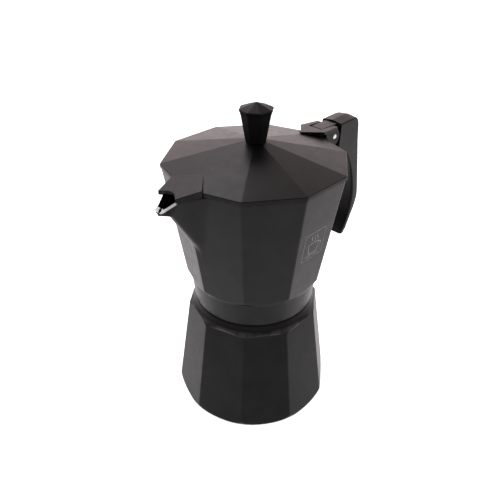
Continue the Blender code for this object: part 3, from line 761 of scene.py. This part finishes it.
def make_lug():
    """The rear lug, bevelled; its inner top is an arc about the pin, which the lid swings round."""
    arc, sweep = [], LUG_SWEEP - 2 * GAP
    for k in range(17):
        angle = radians(180 - 35 * k / 16)
        arc.append((PIN_X + sweep * cos(angle), PIN_Z + sweep * sin(angle)))
    end_x, floor_z, roof_z = MORTISE
    outline = [(47.0, 148.0), (60.0, 151.5), (ARM_X, floor_z + 1.0), (end_x - 1.0, floor_z + 1.0),
               (end_x - 1.0, roof_z - 0.7), (ARM_X - 0.8, roof_z - 0.7), (ARM_X - 0.8, 174.5)]
    outline += arc[::-1] + [(52.0, PIN_Z), (51.2, 166.0)]
    lug = side_plate("lug", outline, -LUG_HALF, LUG_HALF)
    bore = rod("pin_bore", PIN_R + 0.02, -10, 10)
    bore.matrix_world = pin_frame()
    cut(lug, bore)
    cut(lug, rod("screw_bore", 1.45, 150, roof_z - 2.5, 24, (SCREW_X, 0)))
    soften(lug, 0.25, 40, 2)
    low, high = 120, RIM_Z + 0.001
    core = [(body_corner(120) - 1.0, low), (body_corner(RIM_Z) - 1.0, high)]
    rings = [[(0, 0, low)]]
    rings += [circle(ANGLES, facet_radius(ANGLES, r), z) for r, z in core]
    rings.append([(0, 0, high)])
    return cut(lug, skin("core", rings))


def ribbon(points, width, closed=False):
    """A thin raised line along (x, z) points on the chamber's -Y facet."""
    rings = []
    count = len(points)
    for i, here in enumerate(points):
        before = points[i - 1] if closed or i else here
        after = points[(i + 1) % count] if closed or i < count - 1 else here
        along = (Vector(after) - Vector(before)).normalized() * width / 2
        near = (here[0] + along.y, here[1] - along.x)
        far = (here[0] - along.y, here[1] + along.x)
        rings.append([(x, -FLAT * body_corner(z) - lift, z) for (x, z), lift in
                      ((near, -0.05), (near, MARK_RISE), (far, MARK_RISE), (far, -0.05))])
    return skin("ribbon", rings, closed)


MARK_RISE = 0.05


def make_mark():
    """A plain printed mark: a rounded frame round a steaming cup."""
    frame_line = round_corners([(-9.4, 124.8), (8.3, 124.8), (8.3, 143.2), (-9.4, 143.2)], 1.6, 4)
    cup = round_corners([(-5.2, 135.6), (-4.2, 128.6), (2.6, 128.6), (3.6, 135.6)], 0.9, 3)
    ear = smooth_line([(3.3, 134.4), (6.0, 134.6), (5.4, 130.6), (2.9, 130.4)], 2)
    lines = [ribbon(frame_line, 0.24, True), ribbon(cup, 0.36, True), ribbon(ear, 0.34),
             ribbon([(-6.4, 127.0), (4.8, 127.0)], 0.36)]
    for x in (-3.2, -0.8, 1.6):
        wave = [(x + 0.5 * sin(2 * pi * t), 137.0 + 4.2 * t) for t in np.linspace(0, 1, 13)]
        lines.append(ribbon(wave, 0.34))
    return lines


def attach(target, others):
    """Put the other meshes into the target's, as they are."""
    work = bmesh.new()
    work.from_mesh(target.data)
    for other in others:
        work.from_mesh(other.data)
        bpy.data.objects.remove(other)
    work.to_mesh(target.data)
    work.free()
    return target


# ---------------------------------------------------------------- hinge, lid and knob

def pin_frame():
    return Matrix.Translation(Vector((PIN_X, 0, PIN_Z)) * MM) @ Matrix.Rotation(pi / 2, 4, "X")


def make_pin():
    half = EAR_OUT + 0.5
    r = PIN_R - 0.03
    profile = [(0, -half), (r - 0.75, -half), (r - 0.3, -half + 0.14), (r, -half + 0.5), (r, half - 0.5),
               (r - 0.3, half - 0.14), (r - 0.75, half), (0, half)]
    pin = turned("hinge_rod", profile, 40)
    pin.data.transform(pin_frame())
    return pin


def lid_surface(x):
    return LID_Z + APEX_RISE * (1 - abs(x) / LID_R)


def hood_top(x):
    return LID_Z + 0.058 * LID_R - 0.129 * (-x - 0.73 * LID_R)


def mirror_outline(points):
    return points + [(x, -y) for x, y in reversed(points) if y != 0]


def hood(name, points, lower, drop):
    outline = [(-x * LID_R, y * LID_R) for x, y in mirror_outline(points)]
    return prism(name, outline, lower, lambda x: hood_top(x) - drop)


def roof_rings(shares, drop):
    """Rings of the lid's pyramid at shares of its corner radius, lowered by drop."""
    rings = []
    for share in shares:
        radius = facet_radius(ANGLES, LID_R * share)
        z = lid_surface(0) - drop - APEX_RISE * LID_R * share / LID_R
        rings.append(circle(ANGLES, radius, z))
    return rings


def make_lid():
    lip_r, lip_z = 49.9, 166.4
    corner = facet_radius(ANGLES, LID_R)
    lip = facet_radius(ANGLES, lip_r)
    inner = facet_radius(ANGLES, lip_r - 1.8)
    rings = [circle(ANGLES, 2.2, lid_surface(6.2) - 2.0), circle(ANGLES, 2.2, lid_surface(6.2) - 0.05),
             circle(ANGLES, 5.6, lid_surface(6.2) - 0.05)]
    rings += roof_rings([*np.linspace(6.4 / LID_R, 0.985, 14), 0.992, 0.9955], 0.0)
    under = RIM_Z + GAP
    for inset, z in ((0.12, LID_Z - 0.05), (0.03, LID_Z - 0.16), (0.0, LID_Z - 0.34),
                     (0.0, under + 0.25), (0.08, under + 0.08), (0.25, under)):
        rings.append(circle(ANGLES, corner - inset, z))
    for shape, z in ((lip + 0.25, under), (lip, under - 0.25), (lip, lip_z + 0.3),
                     (lip - 0.3, lip_z), (inner + 0.3, lip_z), (inner, lip_z + 0.3)):
        rings.append(circle(ANGLES, shape, z))
    rings += roof_rings([(lip_r - 1.8) / LID_R, 0.8, 0.6, 0.4, 0.2, 6.2 / LID_R], 2.0)
    lid = skin("lid_shell", rings, closed=True)
    cap = hood("hood", [(0.725, 0), (0.942, 0.222), (1.183, 0.128)], under, 0)
    join(lid, soften(cap, 0.35, 20, 3))
    cut(lid, hood("hood_inside", [(0.80, 0), (0.93, 0.178), (1.32, 0.022)], lip_z - 1, 1.9))
    notch = [(-1.113 * LID_R, 0), (-1.127 * LID_R, 2.5), (-1.183 * LID_R, 6.8), (-1.26 * LID_R, 12.5)]
    notch = round_corners(mirror_outline(notch), 0.8, 4)
    cut(lid, prism("notch", notch, lip_z - 1, lambda x: hood_top(x) + 5))
    rear = rod("lug_clearance", LUG_SWEEP, -EAR_IN, EAR_IN, ROUND)
    rear.matrix_world = pin_frame()
    cut(lid, rear)
    for y in PEG_Y:
        cut(lid, peg("peg_hole", y, PEG_R + GAP, -8, 8))
    return lid


PEG_X, PEG_Y, PEG_R = 0.83 * LID_R, (-2.5, 2.5), 1.2


def peg(name, y, radius, low, high):
    made = rod(name, radius, low, high, 24)
    place = Vector((PEG_X, y, lid_surface(PEG_X)))
    made.data.transform(Matrix.Translation(place * MM) @ Matrix.Rotation(APEX_RISE / LID_R, 4, "Y"))
    return made


def bracket_top(x):
    return LID_Z + 0.077 * LID_R - 0.0602 * (x - 0.742 * LID_R)


def make_bracket():
    """The hinge plate: a thin arrow-shaped plate with two ears, pegged through the lid."""
    rear = PIN_X + 2.2
    side = mirror_outline([(0.742 * LID_R, 0), (0.952 * LID_R, 0.178 * LID_R), (rear, EAR_OUT)])
    bracket = prism("hinge_plate", side, lambda x: bracket_top(x) - 1.7, bracket_top)
    ear = ear_outline()
    for sign in (-1, 1):
        join(bracket, side_plate("ear", ear, sign * EAR_IN, sign * EAR_OUT))
    near, far = 0.79 * LID_R, 0.94 * LID_R
    foot = [(near, LID_Z), (far, LID_Z), (far, LID_Z + 2.5), (near, LID_Z + 3)]
    join(bracket, side_plate("foot", foot, -4, 4))
    rings = [[(0, 0, LID_Z - 5)], circle(ANGLES, facet_radius(ANGLES, LID_R + 0.2), LID_Z - 5),
             circle(ANGLES, facet_radius(ANGLES, LID_R + 0.2), LID_Z + GAP), [(0, 0, lid_surface(0) + GAP)]]
    cut(bracket, skin("clearance", rings))
    slot = [(LID_R, -EAR_IN), (rear + 5, -EAR_IN), (rear + 5, EAR_IN), (LID_R, EAR_IN)]
    cut(bracket, prism("slot", slot, LID_Z - 20, LID_Z + 10))
    bore = rod("pin_bore", PIN_R + 0.03, -12, 12, 40)
    bore.matrix_world = pin_frame()
    cut(bracket, bore)
    soften(bracket, 0.3, 30, 3)
    for y in PEG_Y:
        join(bracket, peg("peg", y, PEG_R, -2.8, 1.2), peg("peg_head", y, 1.7, -3.4, -2.6))
    return bracket


def ear_outline():
    below = []
    for k in range(25):
        angle = radians(-100 + 145 * k / 24)
        below.append((PIN_X + 5.0 * cos(angle), PIN_Z - 0.9 + 5.3 * sin(angle)))
    front = [(1.02 * LID_R, bracket_top(1.02 * LID_R) - 0.5), (1.02 * LID_R, LID_Z + 0.9),
             (1.045 * LID_R, LID_Z - 2.6), (1.13 * LID_R, LID_Z - 6.2)]
    return front + below + [(PIN_X + 2.2, bracket_top(PIN_X + 2.2) - 0.5)]


KNOB_TURN = radians(180 + 58.7)
KNOB_SEAT = lid_surface(6.2) + GAP


def octagon(radius, z, reach=0.7):
    corners = [(radius * cos(2 * pi * k / 8 + KNOB_TURN), radius * sin(2 * pi * k / 8 + KNOB_TURN), z)
               for k in range(8)]
    return round_corners(corners, reach, 4)


def make_knob():
    seat = KNOB_SEAT
    rim = seat + 17.6
    side = [(6.3, seat)] + smooth_line([(6.4, seat + 0.6), (7.35, seat + 6.0), (8.3, seat + 11.0),
                                        (9.1, seat + 15.2), (9.85, rim - 0.75)])
    top = [(9.95, rim - 0.35), (9.95, rim - 0.2), (9.88, rim - 0.06), (9.75, rim + 0.03)]
    rings = [[(0, 0, seat + 12.5)]]
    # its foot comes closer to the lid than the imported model's, so that no light shows under it
    for r, z in ((2.6, seat + 12.5), (2.6, seat), (2.8, seat - 0.2), (6.1, seat - 0.2)):
        rings.append(octagon(r, z) if r > 3 else [(r * cos(a), r * sin(a), z) for a in
                     np.linspace(0, 2 * pi, 40, endpoint=False) + KNOB_TURN])
    rings += [octagon(r, z) for r, z in side + top]
    rings += [octagon(9.75 * share, rim + 0.03 + 3.5 * (1 - share), 0.7 * share)
              for share in (0.98, 0.8, 0.6, 0.4, 0.2, 0.08)]
    rings.append([(0, 0, rim + 3.5)])
    return skin("knob_grip", rings)


def screw(name, head, shank_r, top, centre=(0.0, 0.0)):
    """A pan-head screw from below, with a cross recess and rolled threads on its shank."""
    head_r, head_low, head_high = head
    rise = head_high - head_low
    dome = ((0, 0), (0.45, 0.04), (0.75, 0.16), (0.93, 0.4), (1, 0.7))
    profile = [(head_r * out, head_low + up * rise) for out, up in dome]
    profile += [(head_r, head_high - 0.1), (head_r - 0.1, head_high), (shank_r + 0.1, head_high),
                (shank_r, head_high + 0.1)]
    z = head_high + 1.2
    while z < top - 0.9:
        profile += [(shank_r, z), (shank_r - 0.22, z + 0.25), (shank_r, z + 0.5)]
        z += 0.6
    profile += [(shank_r, top - 0.4), (shank_r - 0.4, top), (0, top)]
    made = turned(name, profile, 48, centre)
    x, y = centre
    arm, half = head_r * 0.55, head_r * 0.11
    for wide, deep in ((arm, half), (half, arm)):
        slot = [(x - wide, y - deep), (x + wide, y - deep), (x + wide, y + deep), (x - wide, y + deep)]
        cut(made, prism("cross", slot, head_low - 0.5, head_low + 0.55 * rise))
    return made


# ---------------------------------------------------------------- handle

HANDLE_HALF = 7.8
HANDLE_ROUNDING = (0.5, 1.1, 0.5, 0.5, 0.5, 0.5, 1.1)   # at each corner of its section


def handle_rows():
    rows = [(1.335, 0.064, 1.320, -0.290), (1.48, 0.070, 1.45, -0.305), (1.60, 0.073, 1.53, -0.40),
            (1.667, 0.065, 1.580, -0.475), (1.705, 0.00, 1.612, -0.53), (1.723, -0.18, 1.648, -0.60),
            (1.781, -0.45, 1.690, -0.70), (1.851, -0.77, 1.737, -0.86), (1.906, -1.03, 1.765, -1.03),
            (1.906, -1.12, 1.766, -1.15), (1.868, -1.24, 1.745, -1.28), (1.796, -1.39, 1.700, -1.39),
            (1.731, -1.54, 1.640, -1.52), (1.706, -1.618, 1.616, -1.622)]
    outer = [(x * LID_R, LID_Z + z * LID_R) for x, z, _, _ in rows]
    inner = [(x * LID_R, LID_Z + z * LID_R) for _, _, x, z in rows]
    return smooth_line(outer, 2), smooth_line(inner, 2)


def make_handle():
    """A flat strap with a low ridge along the middle of its outer side."""
    rings = []
    outer, inner = handle_rows()
    count = len(outer)
    for k, (out_point, in_point) in enumerate(zip(outer, inner)):
        o, i = Vector(out_point), Vector(in_point)
        out = (o - i).normalized()
        taper = 1 - 0.12 * max(0.0, (k - (count - 3)) / 2)
        half = HANDLE_HALF * taper
        crest, edge = o + out * 0.35, o - out * 0.65
        cheek = i + out * 0.8
        points = [(crest, 0.0), (edge, half), (cheek, half), (i, half - 1.2), (i, -half + 1.2),
                  (cheek, -half), (edge, -half)]
        section = [Vector((p.x, y, p.y)) for p, y in points]
        ring = []
        for n, corner in enumerate(section):
            before, after = section[n - 1] - corner, section[(n + 1) % len(section)] - corner
            reach = min(HANDLE_ROUNDING[n], 0.4 * before.length, 0.4 * after.length)
            start, end = corner + before.normalized() * reach, corner + after.normalized() * reach
            ring += [(1 - t) ** 2 * start + 2 * t * (1 - t) * corner + t * t * end
                     for t in (0, 0.25, 0.5, 0.75, 1)]
        rings.append(ring)
    handle = skin("handle_grip", rings)
    end_x, floor_z, roof_z = MORTISE
    slot = LUG_HALF + GAP
    box = [(ARM_X - 3, -slot), (end_x, -slot), (end_x, slot), (ARM_X - 3, slot)]
    cut(handle, prism("mortise", box, floor_z, roof_z))
    head_z = floor_z - 1.6
    cut(handle, rod("screw_hole", 2.0, 140, floor_z + 1, 32, (SCREW_X, 0)))
    return cut(handle, rod("screw_recess", 3.9, 140, head_z, 48, (SCREW_X, 0)))


# ---------------------------------------------------------------- assemble

def build_pieces():
    # the boiler's shoulder, between these two heights, gets a painted sheen
    coat_boiler = coating("boiler_coating", 0.09, painted_sheen=(71.8, 75.0))
    coat_body = coating("chamber_coating", 0.135)
    coat_lid = coating("lid_coating", 0.11)
    coat_hinge = coating("hinge_coating", 0.09, 0.32)
    lip = turned_metal("bare_lip", (0.93, 0.93, 0.93), 0.3, (1.0, 1.0, 1.0), 0.3, (0.85, 0.85, 0.85))
    print_ink = ink("printed_mark")
    spun = turned_metal("spun_aluminium", (0.78, 0.78, 0.79), 0.3, (0.15, 0.15, 1.0), 0.3)
    drawn = turned_metal("drawn_aluminium", (0.74, 0.74, 0.75), 0.34, (1.0, 1.0, 0.03), 0.3)
    pressed = turned_metal("pressed_steel", (0.6, 0.6, 0.61), 0.28, (1.0, 1.0, 1.0), 0.5)
    steel = turned_metal("turned_steel", (0.66, 0.66, 0.67), 0.22, (1.0, 0.1, 1.0), 0.2)
    brass = turned_metal("turned_brass", (0.78, 0.57, 0.27), 0.26, (0.2, 1.0, 0.2), 0.25, (0.55, 0.36, 0.15))
    seal = rubber("white_seal")
    grip = plastic("handle_plastic", 0.12)
    knob_plastic = plastic("knob_plastic", 0.058)

    piece(make_boiler(), coat_boiler, "boiler_group", "boiler")
    piece(make_valve_body(), brass, "boiler_group", "valve_body")
    washer = turned("valve_seal_ring", ring_profile(4.95, 6.4, GAP, 1.2, 0.25), 64)
    piece(on_valve(washer), seal, "boiler_group", "valve_washer")
    retainer = turned("valve_clip", ring_profile(1.2, 2.4, 7.6, 8.5, 0.15), 48)
    piece(on_valve(retainer), steel, "boiler_group", "valve_retainer")
    spring = make_spring()
    piece(spring, steel, "boiler_group", "valve_spring")
    compress(spring)
    piece(make_plunger(), brass, "valve_group", "valve_plunger")
    piece(make_funnel(), spun, "boiler_group", "funnel_basket")
    piece(make_funnel_tube(), drawn, "boiler_group", "funnel_tube")
    screen = perforated("funnel_sieve", CUP_R - 1.2, 0.6, 3.0, 24.5, 72.95, 73.75)
    piece(screen, pressed, "boiler_group", "funnel_screen")
    gasket = turned("chamber_gasket", ring_profile(28.0, 34.7, 92.9, 95.4, 0.5, 4))
    piece(gasket, seal, "seal_group", "gasket")
    plate = perforated("filter_disc", 30.4, 0.55, 2.7, 26.0, SEAT_Z + 0.05, SEAT_Z + 0.75)
    piece(plate, spun, "seal_group", "filter_plate")
    collector = attach(make_collector(), make_mark())
    piece(collector, (coat_body, lip, print_ink), "collector_group", "collector")
    mark_lip(collector)
    piece(make_handle(), grip, "collector_group", "handle")
    piece(make_pin(), steel, "collector_group", "hinge_pin")
    head_z = MORTISE[1] - 1.6
    fixing = (SCREW_X, 0)
    outline = ring_profile(1.9, 3.6, head_z - 0.9, head_z - GAP, 0.12)
    washer = turned("handle_fixing_washer", outline, 48, fixing)
    piece(washer, steel, "collector_group", "handle_washer")
    made = screw("handle_fixing_screw", (3.2, head_z - 2.4, head_z - 1.2), 1.4, MORTISE[2] - 3.2, fixing)
    piece(made, steel, "collector_group", "handle_screw")
    piece(make_lid(), coat_lid, "lid_group", "lid")
    piece(make_bracket(), coat_hinge, "lid_group", "hinge_bracket")
    piece(make_knob(), knob_plastic, "lid_group", "knob")
    insert = turned("knob_thread_insert", ring_profile(1.75, 2.3, KNOB_SEAT + 0.6, KNOB_SEAT + 12.2, 0.1), 48)
    piece(insert, brass, "lid_group", "knob_insert")
    under = lid_surface(6.2) - 2.0
    washer = turned("knob_fixing_washer", ring_profile(2.0, 4.4, under - 1.1, under - GAP, 0.12), 64)
    piece(washer, steel, "lid_group", "knob_washer")
    made = screw("knob_fixing_screw", (3.7, under - 3.9, under - 1.4), 1.5, KNOB_SEAT + 11.5)
    piece(made, steel, "lid_group", "knob_screw")


def mark_lip(obj):
    """Give the machined bevel along the beak's lip its bare metal, and the printed mark its ink."""
    for face in obj.data.polygons:
        centre = face.center / MM
        level = centre.z - float(lip_height(-centre.x))
        outward = face.normal.y * centre.y > 0 or face.normal.x < -0.2 or face.normal.z > 0.9
        if centre.x < -LIP_START + 1.2 and abs(level + 0.4) < 0.6 and face.normal.z > 0.2 and outward:
            face.material_index = 1
        raised = -centre.y > FLAT * body_corner(centre.z) + MARK_RISE / 2
        if abs(centre.x) < 11 and 123 < centre.z < 145 and raised:
            face.material_index = 2


# ---------------------------------------------------------------- stage, light and camera

AZIMUTH, ELEVATION, ROLL = radians(-46.294), radians(34.048), -0.0101027
DISTANCE, SIDE_SHIFT, UP_SHIFT = 5.390243, -0.0494279, -0.9726768     # in lid radii
LENS = 36.966


def make_camera():
    back = Vector((sin(AZIMUTH) * cos(ELEVATION), -cos(AZIMUTH) * cos(ELEVATION), sin(ELEVATION)))
    right = Vector((cos(AZIMUTH), sin(AZIMUTH), 0))
    up = back.cross(right)
    size = LID_R * MM
    place = (SIDE_SHIFT * right + UP_SHIFT * up + DISTANCE * back) * size + Vector((0, 0, LID_Z * MM))
    side = right * cos(ROLL) - up * sin(ROLL)
    top = right * sin(ROLL) + up * cos(ROLL)
    data = bpy.data.cameras.new("camera")
    data.lens = LENS
    data.sensor_width = 36.0
    camera = bpy.data.objects.new("camera", data)
    camera.matrix_world = Matrix.Translation(place) @ Matrix((side, top, back)).transposed().to_4x4()
    bpy.context.scene.collection.objects.link(camera)
    bpy.context.scene.camera = camera


def make_floor():
    size, z = 4.0, 0.0
    bpy.context.view_layer.update()
    mesh = bpy.data.meshes.new("floor")
    corners = [(-size, -size, z), (size, -size, z), (size, size, z), (-size, size, z)]
    mesh.from_pydata(corners, [], [(0, 1, 2, 3)])
    floor = bpy.data.objects.new("floor", mesh)
    bpy.context.scene.collection.objects.link(floor)
    look = Look("floor_white", (0.93, 0.93, 0.93), 0.8, 0.0, Specular_IOR_Level=0.1,
                Emission_Color=(1.0, 1.0, 1.0, 1.0), Emission_Strength=0.9)
    mesh.materials.append(look.material)


def area_light(name, place, aim, size, power, color=(1.0, 1.0, 1.0)):
    data = bpy.data.lights.new(name, "AREA")
    data.shape = "RECTANGLE"
    data.size, data.size_y = size
    data.energy = power
    data.color = color
    light = bpy.data.objects.new(name, data)
    light.location = place
    light.rotation_euler = (Vector(aim) - Vector(place)).to_track_quat("-Z", "Y").to_euler()
    bpy.context.scene.collection.objects.link(light)
    return light


TENT_FRONT, TENT_BACK = (0.478, 0.452, 0.457), (2.42, 2.06, 2.07)


def make_world():
    """A white tent: brightest behind the pot, dimmer on the side that the camera looks from."""
    world = bpy.data.worlds.new("tent")
    world.use_nodes = True
    bpy.context.scene.world = world
    tree = world.node_tree
    coordinate = tree.nodes.new("ShaderNodeTexCoord")
    toward = tree.nodes.new("ShaderNodeVectorMath")
    toward.operation = "DOT_PRODUCT"
    toward.inputs[1].default_value = (-0.60, -0.57, 0.56)
    tree.links.new(coordinate.outputs["Generated"], toward.inputs[0])
    spread = tree.nodes.new("ShaderNodeMapRange")
    spread.interpolation_type = "SMOOTHSTEP"
    tree.links.new(toward.outputs["Value"], spread.inputs[0])
    for key, value in zip((1, 2), (-0.92, 0.4)):
        spread.inputs[key].default_value = value
    shade = tree.nodes.new("ShaderNodeMix")
    shade.data_type = "RGBA"
    shade.inputs[6].default_value = (*TENT_BACK, 1.0)
    shade.inputs[7].default_value = (*TENT_FRONT, 1.0)
    tree.links.new(spread.outputs[0], shade.inputs[0])
    tree.links.new(shade.outputs[2], tree.nodes["Background"].inputs["Color"])


build_pieces()
make_floor()
make_camera()
make_world()
area_light("softbox", (0.3, 0.66, 1.08), (0, 0, 0.12), (0.5, 0.5), 5.0, (1.0, 0.95, 1.0))
bpy.context.scene.view_settings.view_transform = "Standard"
